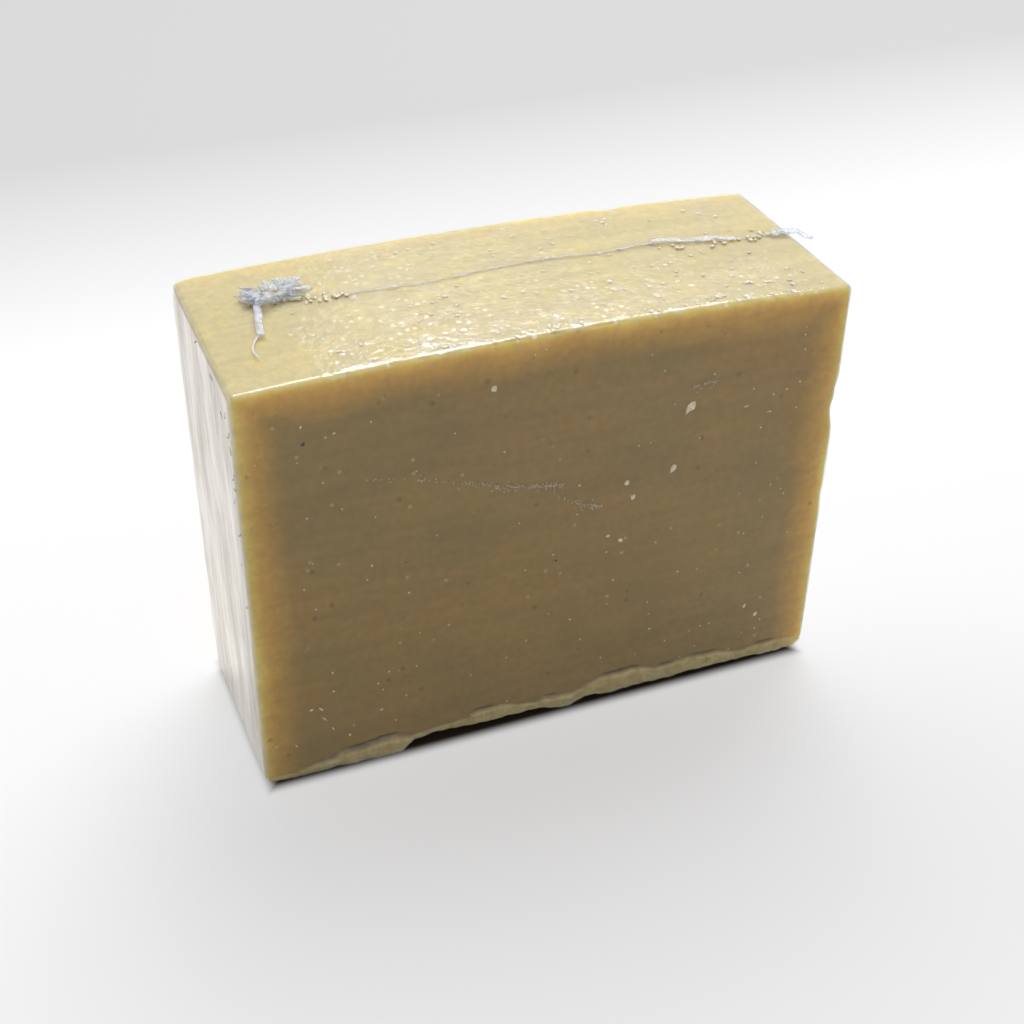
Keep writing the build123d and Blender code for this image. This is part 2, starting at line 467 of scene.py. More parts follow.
def make_soap():
    """The cut block, with its depth in from the edges, bloom, crust and cracks stored on its points."""
    points, outward, quads = block_surface(soap_half, soap_edge, soap_spacing)
    points = hand_cut(points, soap_half)
    top = top_level(points[:, 0], points[:, 1])
    points[:, 2] -= film_lift * np.clip(outward[:, 2], 0, 1)
    # How far each point lies in from the ends and the top, which sets the painted glow near the edges.
    ends = np.minimum(soap_half[0] - np.abs(points[:, 0]), top - points[:, 2])
    loaf_depth = np.clip(ends, 0, None) / rim_depth
    bloom = np.clip(outward[:, 2], 0, 1) + 0.6 * np.abs(outward[:, 0])
    # Along part of the back's top edge the bloom is cut back, so the painted rim glow shows there.
    thin_bloom_strip = step(points[:, 1], 13.3, 14.3) * step(points[:, 0], 3.0, 6.0)
    thin_bloom_strip *= step(-points[:, 0], -24.0, -19.0)
    bloom = bloom * (1 - 0.8 * thin_bloom_strip)
    points, crust, crack = shape_foot(points, outward, soap_half[0], worn_corner)
    waves = 0.5 + 0.5 * noise_at(points * [0.25, 1, 1], 5.0, 2.2)
    pits = np.clip(noise_at(points, 1.3, 7.7) - 0.35, 0, None) * 0.12
    edge = 1 - np.max(np.abs(outward), axis=1)
    chips = edge * np.clip(noise_at(points, 1.6, 9.3) - 0.1, 0, None) * 1.3
    points -= outward * (0.05 * waves + pits + chips + 0.22 * crack)[:, None]
    points[:, 2] = np.maximum(points[:, 2], film_lift)
    return make_piece("soap_bar_cut", points, quads, soap_material,
                      loaf_depth=loaf_depth, bloom=bloom, crust=crust, crack=crack)


soap = make_soap()
finish_piece(soap, "soap_bar")
print("soap points:", len(soap.data.vertices))

# %% [markdown]
# ## The film's finish
# Shrink film is clear: most light goes straight through and a little is mirrored, more the flatter
# it is seen. A glass shader would bend the light as a thick block does, so a transparent and a glossy
# shader are mixed, by a share that rises with the fifth power of how side-on the film is seen. That
# share is the same from both sides of the sheet. Where the film is loose it is dimpled, and over the
# ends it is drawn into long folds, so its bump follows two numbers stored on its points.

# %% Materials of the film
film_ior = 1.5
film_mirror = ((film_ior - 1) / (film_ior + 1)) ** 2     # share of light mirrored, seen square on


def film_finish():
    """Clear film, tight over the faces, dimpled where it is loose and creased over the ends."""
    material, tree, output = new_material("clear film")
    place = object_space(tree)
    loose, folds = attribute(tree, "loose"), attribute(tree, "folds")
    fine = noise_field(tree, place, 1300, 2, 0.6)
    coarse = noise_field(tree, place, 480, 2, 0.5)
    dimples = times(tree, plus(tree, fine, coarse), times(tree, loose, 0.7))
    streaks = noise_field(tree, object_space(tree, (1, 1, 0.24)), 210, 2, 0.5)
    drawn = times(tree, streaks, times(tree, folds, 0.7))
    soft = times(tree, noise_field(tree, place, 120, 2), 0.12)
    height = plus(tree, plus(tree, dimples, drawn), soft)
    bump = add_node(tree, "ShaderNodeBump", {"Height": height, "Strength": 0.9, "Distance": 0.00022})
    grazing = add_node(tree, "ShaderNodeLayerWeight", {"Blend": 0.5, "Normal": bump.outputs["Normal"]})
    steep = math_node(tree, "POWER", grazing.outputs["Facing"], 5.0)
    mirror = math_node(tree, "MULTIPLY_ADD", steep, 1 - film_mirror, film_mirror)

    blisters = add_node(tree, "ShaderNodeTexVoronoi", {"Vector": place, "Scale": 900.0, "Randomness": 1.0})
    spots = band(tree, blisters.outputs["Distance"], 0.42, 0.18)
    lot = add_node(tree, "ShaderNodeSeparateColor", {"Color": blisters.outputs["Color"]}).outputs[0]
    kept = band(tree, plus(tree, lot, noise_field(tree, place, 260, 3, 0.6)), 1.05, 1.35)
    clouds = band(tree, noise_field(tree, place, 420, 4, 0.7), 0.40, 0.75, 0.0, 0.17)
    milky = plus(tree, times(tree, times(tree, spots, kept), 0.45), clouds)
    haze = times(tree, loose, milky)
    drawn_haze = times(tree, folds, band(tree, streaks, 0.3, 0.7, 0.30, 0.50))
    factor = plus(tree, mirror, plus(tree, haze, drawn_haze), clamp=True)
    greyed = band(tree, noise_field(tree, object_space(tree, (1, 1, 0.34)), 150, 3, 0.55), 0.35, 0.65)
    pulled = mix_colour(tree, greyed, (0.89, 0.86, 0.81), (0.73, 0.71, 0.68))
    tint = mix_colour(tree, folds, (1, 1, 1), pulled)
    roughness = math_node(tree, "MULTIPLY_ADD", loose, 0.10, 0.08)
    clear = add_node(tree, "ShaderNodeBsdfTransparent", {"Color": (0.985, 0.985, 0.98, 1)})
    gloss = add_node(tree, "ShaderNodeBsdfGlossy", {
        "Color": tint, "Roughness": roughness, "Normal": bump.outputs["Normal"]})
    mixed = add_node(tree, "ShaderNodeMixShader", {0: factor, 1: clear.outputs[0], 2: gloss.outputs[0]})
    tree.links.new(mixed.outputs[0], output.inputs["Surface"])
    return material


def crumple_finish(name, tint, least, most, relief_scale, clearness=0.94):
    """Several layers of the same film on top of each other: milky, with sharp glints."""
    material, tree, output = new_material(name)
    place = object_space(tree)
    relief = noise_field(tree, place, relief_scale, 3, 0.65)
    bump = add_node(tree, "ShaderNodeBump", {"Height": relief, "Strength": 1.0, "Distance": 0.0003})
    normal = bump.outputs["Normal"]
    grazing = add_node(tree, "ShaderNodeLayerWeight", {"Blend": 0.45, "Normal": normal}).outputs["Facing"]
    patches = band(tree, noise_field(tree, place, relief_scale * 0.6, 3), 0.35, 0.65)
    layers = plus(tree, times(tree, grazing, 0.6), times(tree, patches, 0.4))
    factor = band(tree, layers, 0.1, 0.9, least, most)
    clear = add_node(tree, "ShaderNodeBsdfTransparent", {
        "Color": (clearness - 0.02, clearness - 0.01, clearness, 1)})
    milky = add_node(tree, "ShaderNodeBsdfPrincipled", {
        "Base Color": (*tint, 1), "Roughness": 0.16, "IOR": film_ior, "Specular IOR Level": 0.9,
        "Normal": normal})
    mixed = add_node(tree, "ShaderNodeMixShader", {0: factor, 1: clear.outputs[0], 2: milky.outputs[0]})
    tree.links.new(mixed.outputs[0], output.inputs["Surface"])
    return material


def fleck_finish(name, tint, rough=0.55):
    """A plain matt finish that is unevenly tinted."""
    material, tree, output = new_material(name)
    shade = noise_field(tree, object_space(tree), 1500, 2)
    colour = mix_colour(tree, band(tree, shade, 0.3, 0.7), tint, tuple(part * 0.72 for part in tint))
    skin = add_node(tree, "ShaderNodeBsdfPrincipled", {"Base Color": colour, "Roughness": rough})
    tree.links.new(skin.outputs[0], output.inputs["Surface"])
    return material


film_material = film_finish()
seam_material = crumple_finish("welded film", (0.78, 0.78, 0.80), 0.12, 0.50, 1500)
frill_material = crumple_finish("ruffled film", (0.95, 0.96, 0.98), 0.10, 0.50, 1300, 0.98)
gather_material = crumple_finish("gathered film", (0.84, 0.88, 0.97), 0.24, 0.66, 1200, 0.97)
# The creased film is tinted dark grey: painted shade for the dark lines along the creases.
crease_shade_material = crumple_finish("creased film with painted shade", (0.42, 0.40, 0.39), 0.30, 0.70, 900, 0.80)
bubble_material = fleck_finish("air beads", (0.66, 0.57, 0.40))
blister_material = fleck_finish("blistered film", (0.86, 0.78, 0.56), 0.32)
print("share mirrored square on:", round(film_mirror, 3))

# %% [markdown]
# ## The film's skin
# Cloth simulation could shrink a sheet onto the soap, but the film is tight, so its skin is the same
# block, grown by the film's lift, and hugs every knock and flake. Its folds over the ends are real
# shape: long ridges that run down from the top, where film is drawn in from the sides.

# %% Make the skin
film_spacing = 0.56
film_edge = soap_edge + film_lift
fold_height = 0.11
box_margin = 0.01                # kept inside the CAD film's box
loose_from = -31.5               # along the bar: where the dimples start


def make_skin():
    """The skin just outside the soap, with its looseness and its folds stored on its points."""
    points, outward, quads = block_surface(outer_half, film_edge, film_spacing)
    points = hand_cut(points, outer_half)
    points, _, _ = shape_foot(points, outward, outer_half[0], worn_corner)
    end = np.clip(np.abs(outward[:, 0]) * 1.6 - 0.6, 0, 1)
    lanes = noise_at(points * [0, 1, 0.10], 2.1, 6.1) + 0.5 * noise_at(points * [0, 1, 0.16], 0.9, 2.6)
    ridge = np.clip(0.35 - np.abs(lanes), 0, None) / 0.35
    waves = 0.5 * noise_at(points * [0, 0.8, 0.35], 5.0, 3.3)
    drawn = np.clip(fold_height * (0.7 * ridge + waves - 0.55), -0.08, 0.0)
    points += outward * (end * drawn)[:, None]
    top_share = step(outward[:, 2], 0.2, 0.7)
    edge_x = loose_from - (points[:, 1] + 11.5) * 0.13
    tight_end = step(points[:, 0], edge_x, edge_x + 0.8) * step(-points[:, 0], -42.0, -33.0)
    near_front = 0.15 + 0.85 * step(-points[:, 1], -1.0, 13.0)
    patchy = 0.45 + 0.55 * step(noise_at(points, 6.0, 1.4), -0.35, 0.35)
    loose = top_share * (0.12 + 0.88 * near_front * patchy * tight_end)
    dimples = noise_at(points, 1.5, 8.2) * loose * 0.045
    points += outward * dimples[:, None]
    points = np.clip(points, film_low + box_margin, film_high - box_margin)
    under = outward[:, 2] < -0.9
    points[under, 2] = np.minimum(points[under, 2], highest_gap)
    return make_piece("film_skin", points, quads, film_material, loose=loose, folds=end)


finish_piece(make_skin())

# %% [markdown]
# ## Strips of film
# The seam, the creases, the tail and the stub are all narrow strips that follow a line. Each could be
# drawn point by point, but one geometry tree makes them all, and each keeps its own few numbers. The
# tree samples the line evenly, sweeps a flat oval along it and ruffles the result with noise. Each
# result is baked to a plain mesh, because the export keeps meshes and not trees.


# %% Helpers for geometry trees
def geometry_tree(name, **numbers):
    """A new geometry tree with a geometry input and output, and a number input for each keyword."""
    tree = bpy.data.node_groups.new(name, "GeometryNodeTree")
    tree.interface.new_socket("Geometry", in_out="INPUT", socket_type="NodeSocketGeometry")
    for label, usual in numbers.items():
        kind = "NodeSocketInt" if isinstance(usual, int) else "NodeSocketFloat"
        tree.interface.new_socket(label, in_out="INPUT", socket_type=kind).default_value = usual
    tree.interface.new_socket("Geometry", in_out="OUTPUT", socket_type="NodeSocketGeometry")
    return tree, tree.nodes.new("NodeGroupInput").outputs


def close_tree(tree, geometry, material):
    """Ends a tree as the export needs it: instances made real, and one material set."""
    real = add_node(tree, "GeometryNodeRealizeInstances", {"Geometry": geometry})
    painted = add_node(tree, "GeometryNodeSetMaterial", {"Geometry": real.outputs[0], "Material": material})
    tree.links.new(painted.outputs[0], tree.nodes.new("NodeGroupOutput").inputs[0])


def bake(name, carrier, tree, **values):
    """Runs a tree on a carrier object and returns the result as a plain mesh object."""
    modifier = carrier.modifiers.new(tree.name, "NODES")
    modifier.node_group = tree
    for item in tree.interface.items_tree:
        if item.name in values:
            modifier[item.identifier] = values[item.name]
    ready = carrier.evaluated_get(bpy.context.evaluated_depsgraph_get())
    mesh = bpy.data.meshes.new_from_object(ready)
    mesh.name = name
    carrier.modifiers.remove(modifier)
    bpy.data.objects.remove(carrier)
    mesh.polygons.foreach_set("use_smooth", [True] * len(mesh.polygons))
    return add_object(name, mesh)


print("geometry helpers ready")


# %% The strip tree
def strip_tree(name, material):
    """A flat strip along a line, ruffled by noise. Width and thickness are half sizes."""
    tree, entry = geometry_tree(name, width=0.0008, thickness=0.0001, spacing=0.0002,
                                ruffle=0.0003, ruffle_scale=900.0, seed=1.0)
    sampled = add_node(tree, "GeometryNodeResampleCurve",
                       {"Curve": entry["Geometry"], "Length": entry["spacing"]}, mode="LENGTH")
    ring = add_node(tree, "GeometryNodeCurvePrimitiveCircle", {"Resolution": 10, "Radius": 1.0}).outputs[0]
    sizes = add_node(tree, "ShaderNodeCombineXYZ", {"X": entry["width"], "Y": entry["thickness"], "Z": 1.0})
    oval = add_node(tree, "GeometryNodeTransform", {"Geometry": ring, "Scale": sizes.outputs[0]})
    swept = add_node(tree, "GeometryNodeCurveToMesh", {
        "Curve": sampled.outputs[0], "Profile Curve": oval.outputs[0], "Fill Caps": True})
    field = add_node(tree, "ShaderNodeTexNoise", {
        "W": entry["seed"], "Scale": entry["ruffle_scale"], "Detail": 2.0}, noise_dimensions="4D")
    centred = add_node(tree, "ShaderNodeVectorMath", {0: field.outputs["Color"], 1: (0.5, 0.5, 0.5)},
                       operation="SUBTRACT")
    push = add_node(tree, "ShaderNodeVectorMath", {0: centred.outputs[0], "Scale": entry["ruffle"]},
                    operation="SCALE")
    moved = add_node(tree, "GeometryNodeSetPosition", {
        "Geometry": swept.outputs[0], "Offset": push.outputs[0]})
    close_tree(tree, moved.outputs[0], material)
    return tree


def line_carrier(points_mm):
    """A curve object through the points, smooth, with no thickness of its own."""
    curve = bpy.data.curves.new("line", "CURVE")
    curve.dimensions = "3D"
    spline = curve.splines.new("NURBS")
    spline.points.add(len(points_mm) - 1)
    for point, place in zip(spline.points, points_mm):
        point.co = (*(np.array(place) * MM), 1.0)
    spline.order_u = 3
    spline.use_endpoint_u = True
    spline.resolution_u = 12
    return add_object("line", curve)


def sweep(name, line, tree, width, thickness, spacing, ruffle, ruffle_scale, seed):
    """A strip along a line of points. All but the last two numbers are in millimetres."""
    return bake(name, line_carrier(line), tree, width=width * MM, thickness=thickness * MM,
                spacing=spacing * MM, ruffle=ruffle * MM, ruffle_scale=float(ruffle_scale), seed=float(seed))


seam_strip = strip_tree("welded strip", seam_material)
loose_strip = strip_tree("loose strip", gather_material)
frill_strip = strip_tree("ruffled strip", frill_material)
crease_shade_strip = strip_tree("creased strip with painted shade", crease_shade_material)
print("strip trees:", [tree.name for tree in bpy.data.node_groups])

# %% [markdown]
# ## The welded seam
# A hot wire joins the film's two edges along the top and leaves a thin raised cord. Near its right
# end the edge past the weld was left wider, and it stands up as a frill. Both follow the same chosen
# places. Their heights are worked out from the top's own bow, so a change to the block moves them too.

# %% The seam
seam_places = [                  # along the bar and across it
    (-24.0, 2.9), (-20.5, 2.9), (-16.0, 2.3), (-10.0, 2.2), (-4.6, 2.5), (0.7, 3.0), (7.0, 2.8), (13.5, 2.2),
    (21.0, 3.1), (28.0, 1.9), (33.0, 0.9), (38.0, 1.1), (41.6, 1.0),
]


def on_top(places, lift):
    """The places on the film's top, raised by a lift in millimetres."""
    return [(x, y, top_level(x, y) + lift) for x, y in places]


frill_places = [place for place in seam_places if 20.0 < place[0] < 34.0]
finish_piece(sweep("film_seam", on_top(seam_places, 0.08), seam_strip,
                   width=0.26, thickness=0.08, spacing=0.22, ruffle=0.7, ruffle_scale=520, seed=3))
finish_piece(sweep("film_seam_frill", on_top(frill_places, 0.28), frill_strip,
                   width=0.65, thickness=0.08, spacing=0.18, ruffle=1.2, ruffle_scale=620, seed=8))

# %% [markdown]
# ## Creases in the left end
# Film that is drawn in over an end also folds sharply in a few places. Such a crease is finer than
# the skin's grid, so moving the skin's points can't make it. Each is a strip of its own, laid on the
# skin, and the strips are joined into one piece. The strips are tinted dark grey, a painted shade for
# the dark lines that the creases show.

# %% Sharp creases in the left end
end_creases = [                  # across and up the left end, length, and lean in degrees
    (-12.0, 58.6, 1.5, 125), (-12.7, 56.2, 2.2, 140), (-13.2, 54.3, 1.0, 60), (-13.1, 50.4, 1.9, 135),
    (-12.6, 46.8, 1.2, 120), (-13.2, 42.0, 1.4, 145), (-12.5, 37.0, 0.9, 125), (-6.0, 60.6, 1.1, 30),
    (2.0, 61.4, 1.2, 155), (-9.8, 57.4, 0.9, 60), (-13.4, 48.9, 0.8, 170), (-12.9, 30.5, 0.8, 130),
]
end_lean = 0.35                  # how far the left end comes in from the top to the foot


def crease_line(y, z, length, lean):
    """A short bent line that lies on the left end."""
    turn = math.radians(lean)
    line = []
    for share, bend in ((-0.5, 0.0), (-0.15, 0.12), (0.15, 0.08), (0.5, -0.05)):
        across = y + length * (share * math.cos(turn) - bend * math.sin(turn))
        up = z + length * (share * math.sin(turn) + bend * math.cos(turn))
        line.append((0.08 - outer_half[0] + end_lean * (1 - up / end_height), across, up))
    return line


# Dark strips with painted shade, one for each crease.
creases = [sweep("film_crease", crease_line(*place), crease_shade_strip, width=0.05, thickness=0.09,
                 spacing=0.10, ruffle=0.1, ruffle_scale=900, seed=number)
           for number, place in enumerate(end_creases)]
bpy.ops.object.select_all(action="DESELECT")
for crease in creases:
    crease.select_set(True)
bpy.context.view_layer.objects.active = creases[0]
bpy.ops.object.join()
finish_piece(creases[0])

# %% [markdown]
# ## The tail and the stub
# The film's loose end was pulled out of the gather as a narrow tail that thins to a hook. At the
# other end of the seam the spare film stands out past the bar as a short crumpled stub. They are
# strips too, but of the gather's milky, many-layered film.

# %% The tail and the stub
tail_places = [(-33.0, 6.0), (-33.6, 3.8), (-34.2, 1.0), (-34.7, -1.5), (-35.0, -3.2)]
hook_places = [(-34.9, -2.6), (-35.9, -3.8), (-36.7, -5.4), (-36.9, -6.8), (-36.5, -7.9)]
stub_line = [
    (38.6, 1.1, 63.35), (40.6, 1.0, 63.2), (42.0, 0.7, 63.1), (43.0, -0.3, 62.9), (43.5, -1.5, 62.7)]
finish_piece(sweep("film_tail", on_top(tail_places, 0.40), loose_strip,
                   width=0.50, thickness=0.12, spacing=0.20, ruffle=0.5, ruffle_scale=520, seed=2))
finish_piece(sweep("film_tail_hook", on_top(hook_places, 0.25), loose_strip,
                   width=0.16, thickness=0.11, spacing=0.12, ruffle=0.2, ruffle_scale=700, seed=5))
finish_piece(sweep("film_stub", stub_line, loose_strip,
                   width=0.72, thickness=0.20, spacing=0.18, ruffle=1.1, ruffle_scale=700, seed=6))

# %% [markdown]
# ## The gathered end
# At the left end of the seam the hot air drew the film into a crumpled knot. Its true folds are too
# fine to draw one by one, so the knot is a ball whose points are moved in and out by folded noise:
# where the noise changes sign it leaves a sharp valley, which is how crumpled film looks.


# %% Make the knot
def small_ball(name, detail):
    """A ball of radius one, kept out of the scene: it is a shape to crumple or to repeat."""
    mesh = bpy.data.meshes.new(name)
    ball = bmesh.new()
    bmesh.ops.create_icosphere(ball, subdivisions=detail, radius=1.0)
    ball.to_mesh(mesh)
    ball.free()
    return bpy.data.objects.new(name, mesh)


gather_centre = (-31.2, 5.8)
gather_half = (3.7, 2.0, 0.85)
gather_lift = 0.35


def make_knot():
    """A flat ball crumpled by noise, resting on the top."""
    ball = small_ball("knot", 5)
    unit = np.array([vertex.co[:] for vertex in ball.data.vertices])
    faces = [tuple(face.vertices) for face in ball.data.polygons]
    bpy.data.meshes.remove(ball.data)
    x, y = gather_centre
    level = top_level(x, y)
    base = unit * gather_half
    folds = np.abs(noise_at(base, 1.1, 4.2)) + 0.6 * np.abs(noise_at(base, 0.5, 1.7))
    points = base * (0.66 + 1.05 * folds)[:, None] + [x, y, level + gather_lift]
    points[:, 2] = np.clip(points[:, 2], level - 0.1, film_high[2] - 0.05)
    return make_piece("film_knot", points, faces, gather_material)


finish_piece(make_knot())

# %% [markdown]
# ## The fan of pleats
# Beside the knot a few pleats spread like a fan that leans back. It is one sheet folded to and fro: a
# small grid whose columns step up and down, more so further out. A live Solidify modifier gives the
# sheet its thickness, which keeps the grid simple.

# %% Make the fan of pleats
fan_root = (-29.4, 5.2)
fan_blades = 7
fan_turn = 38                    # degrees from the bar's length to the fan's first edge
fan_spread = 74                  # degrees between its two edges


def make_fan():
    """A strip folded to and fro, spread like a fan that leans back."""
    rows, columns = 10, fan_blades * 4
    points, faces = [], []
    for row in range(rows + 1):
        out = row / rows
        for column in range(columns + 1):
            across = column / columns
            angle = math.radians(fan_turn + fan_spread * across)
            reach = 0.4 + 3.0 * out * (1 + 0.08 * math.sin(9 * across))
            zigzag = 0.24 * out * (1 if column % 4 < 2 else -1)
            x = fan_root[0] + reach * math.cos(angle)
            y = fan_root[1] + reach * math.sin(angle) * 0.75
            rise = 0.35 + 1.0 * out + zigzag
            points.append((x, y, min(top_level(x, y) + rise, film_high[2] - 0.08)))
    for row in range(rows):
        for column in range(columns):
            first = row * (columns + 1) + column
            faces.append((first, first + 1, first + columns + 2, first + columns + 1))
    fan = make_piece("film_fan", points, faces, gather_material)
    wall = fan.modifiers.new("wall", "SOLIDIFY")
    wall.thickness = 0.05 * MM
    return fan


finish_piece(make_fan())

# %% [markdown]
# ## Puckers, blisters and air beads
# Shrunk film puckers beside its weld, blisters over the top and traps lines of air beads on the
# front. There are hundreds, so a second geometry tree repeats one small shape on chosen points, each
# turned and sized by chance. A seed is set for all of it, so that every run gives the same bar.


# %% The tree that repeats a shape
def repeat_tree(name, shape, material):
    """A small shape on each point of the carrier, turned and sized by chance."""
    tree, entry = geometry_tree(name, smallest=0.0001, largest=0.0003, flatness=0.3, stretch=1.5, seed=1)
    source = add_node(tree, "GeometryNodeObjectInfo", {"Object": shape})
    spin = add_node(tree, "FunctionNodeRandomValue", {"Seed": entry["seed"]}, data_type="FLOAT_VECTOR")
    spin.inputs[0].default_value = (-0.25, -0.25, 0.0)
    spin.inputs[1].default_value = (0.25, 0.25, 2 * math.pi)
    size = add_node(tree, "FunctionNodeRandomValue", {
        2: entry["smallest"], 3: entry["largest"], "Seed": entry["seed"]}, data_type="FLOAT")
    form = add_node(tree, "ShaderNodeCombineXYZ", {"X": entry["stretch"], "Y": 1.0, "Z": entry["flatness"]})
    scale = add_node(tree, "ShaderNodeVectorMath", {0: form.outputs[0], "Scale": size.outputs[1]},
                     operation="SCALE")
    normal = tree.nodes.new("GeometryNodeInputNormal")
    facing = add_node(tree, "FunctionNodeAlignRotationToVector", {"Vector": normal.outputs[0]}, axis="Z")
    turned = add_node(tree, "FunctionNodeRotateRotation", {
        "Rotation": facing.outputs[0], "Rotate By": spin.outputs[0]}, rotation_space="LOCAL")
    placed = add_node(tree, "GeometryNodeInstanceOnPoints", {
        "Points": entry["Geometry"], "Instance": source.outputs["Geometry"],
        "Rotation": turned.outputs[0], "Scale": scale.outputs[0]})
    close_tree(tree, placed.outputs[0], material)
    return tree


def spot_carrier(places, directions):
    """A tiny triangle at each place, facing out. Its three corners make three shapes that overlap."""
    points, faces = [], []
    for place, direction in zip(places, directions):
        out = Vector(direction).normalized()
        side = out.orthogonal().normalized()
        faces.append((len(points), len(points) + 1, len(points) + 2))
        for turn in range(3):
            points.append(Vector(place) + Matrix.Rotation(turn * math.tau / 3, 3, out) @ side * 0.001)
    mesh = bpy.data.meshes.new("spots")
    mesh.from_pydata([tuple(point * MM) for point in points], [], faces)
    return add_object("spots", mesh)


def strew(name, places, directions, tree, smallest, largest, flatness, stretch, seed):
    """One piece made of small shapes at the places. The two sizes are radii in millimetres."""
    return bake(name, spot_carrier(places, directions), tree, smallest=smallest * MM,
                largest=largest * MM, flatness=flatness, stretch=stretch, seed=seed)


chip_shape = small_ball("chip shape", 1)
bead_shape = small_ball("bead shape", 2)
bead_tree = repeat_tree("beads", bead_shape, blister_material)
bubble_tree = repeat_tree("bubbles", chip_shape, bubble_material)
print("points in a bead:", len(bead_shape.data.vertices), "in a chip:", len(chip_shape.data.vertices))

# %% Make the puckers and the blisters
rng = np.random.default_rng(41)


def make_puckers():
    """Small blisters where the seam begins and along its right end."""
    spots = [(-29.4 + 7.6 * t + rng.normal(0, 0.2), 3.9 - 1.2 * t + rng.normal(0, 0.5))
             for t in rng.random(26)]
    spots += [(20 + 21 * t, 1.2 + rng.normal(0, 0.8)) for t in rng.random(26)]
    return strew("film_puckers", on_top(spots, 0.02), [(0, 0, 1)] * len(spots), bead_tree,
                 smallest=0.10, largest=0.34, flatness=0.5, stretch=1.4, seed=4)


def make_blisters():
    """Pale flat blisters between film and soap, most of them near the top's front edge."""
    spots = [(31.8, -10.9), (31.3, -10.8), (21.6, -12.6), (-26.4, -9.8), (12.4, -12.9)]
    spots += [(x, -14 + 26 * t**2.2) for x, t in zip(rng.uniform(-30, 39, 170), rng.random(170))]
    return strew("film_blisters", on_top(spots, 0.01 - film_lift), [(0, 0, 1)] * len(spots), bead_tree,
                 smallest=0.06, largest=0.29, flatness=0.12, stretch=1.6, seed=14)


finish_piece(make_puckers())
finish_piece(make_blisters())

# %% Make the air beads
bubble_lines = [                 # points along and up the front, and how many beads
    ([(-29.5, 48.0), (-21.7, 46.3), (-15.0, 44.1), (-8.0, 41.6), (-1.6, 40.2), (1.2, 40.0)], 170),
    ([(-1.0, 39.6), (1.5, 37.4), (4.0, 36.0), (7.0, 35.0)], 80),
    ([(17.8, 50.7), (19.6, 51.3), (21.6, 51.6), (23.0, 51.4)], 40),
]


def front_places(places, lift):
    """Places given along and up the front face, as points a lift outside the soap."""
    block = np.array([[x, -soap_half[1], z - soap_half[2]] for x, z in places])
    return [(x, y - lift, z) for x, y, z in hand_cut(block, soap_half)]


def make_bubbles():
    """Rows of tiny air beads caught between film and soap on the front."""
    places = []
    for line, count in bubble_lines:
        xs, zs = zip(*line)
        for t in rng.beta(2.6, 1.0, count):
            x = xs[0] + (xs[-1] - xs[0]) * t
            z = np.interp(x, xs, zs) + rng.normal(0, 0.55) * rng.random()
            places.append((x, z))
    return strew("film_bubbles", front_places(places, 0.02), [(0, -1, 0)] * len(places), bubble_tree,
                 smallest=0.04, largest=0.12, flatness=0.5, stretch=1.3, seed=9)


finish_piece(make_bubbles())

# %% [markdown]
# ## Flecks in the soap
# Pale flakes and dark bits are set in the cut face. The eye finds the large flakes and the scuffs
# first, so they are placed one by one as flat ragged chips, and the tree scatters the small specks.


# %% Make the flecks
flake_material = fleck_finish("pale flake", (0.95, 0.84, 0.60))
speck_material = fleck_finish("dark speck", (0.050, 0.036, 0.024))
large_flakes = [                 # along, up, half length, half width, lean in degrees
    (-8.8, 56.6, 0.55, 0.48, 30), (19.3, 48.1, 1.05, 0.62, 55), (17.4, 38.9, 0.90, 0.48, 62),
    (10.5, 38.0, 0.50, 0.40, 10), (11.6, 35.4, 0.50, 0.44, 100), (8.1, 29.8, 0.34, 0.28, 40),
    (10.0, 28.6, 0.46, 0.40, 120), (31.2, 11.4, 0.44, 0.26, 70), (33.3, 9.3, 0.50, 0.30, 60),
    (-33.7, 11.5, 0.50, 0.16, 130), (-35.1, 11.8, 0.28, 0.18, 20), (-33.3, 9.6, 0.55, 0.10, 125),
    (-32.2, 7.5, 0.36, 0.12, 120), (-29.9, 5.6, 0.26, 0.18, 80), (-25.2, 8.8, 0.30, 0.20, 15),
    (-31.8, 14.2, 0.24, 0.20, 0), (-25.5, 13.6, 0.20, 0.15, 60), (-40.3, 6.8, 0.36, 0.14, 15),
    (-37.5, 6.0, 0.30, 0.14, 140), (27.8, 46.7, 0.50, 0.12, 10), (31.5, 45.2, 0.45, 0.10, 175),
    (-29.7, 55.0, 0.30, 0.15, 10), (-33.8, 56.9, 0.24, 0.16, 80), (3.5, 39.2, 0.26, 0.20, 0),
]
dark_flakes = [(-33.6, 54.4, 0.46, 0.26, 50), (0.4, 27.6, 0.20, 0.14, 0), (-21.0, 33.0, 0.16, 0.12, 20)]


def make_flakes(name, flakes, material):
    """Thin, slightly ragged chips lying in the front face."""
    points, faces = [], []
    corners = 8
    chance = np.random.default_rng(len(flakes))
    for x, z, length, width, lean in flakes:
        (cx, cy, cz), = front_places([(x, z)], 0.0)
        first = len(points)
        tilt = math.radians(lean)
        edge = chance.uniform(0.60, 1.20, corners)
        for scale, out in ((1.0, -0.03), (0.78, 0.05)):
            for corner in range(corners):
                turn = corner * math.tau / corners
                ragged = scale * edge[corner]
                along, up = length * ragged * math.cos(turn), width * ragged * math.sin(turn)
                points.append((cx + along * math.cos(tilt) - up * math.sin(tilt), cy - out,
                               cz + along * math.sin(tilt) + up * math.cos(tilt)))
        for corner in range(corners):
            after = (corner + 1) % corners
            faces.append((first + corner, first + after, first + corners + after, first + corners + corner))
        faces.append(tuple(range(first + corners, first + 2 * corners)))
        faces.append(tuple(range(first + corners - 1, first - 1, -1)))
    return make_piece(name, points, faces, material, smooth=False)


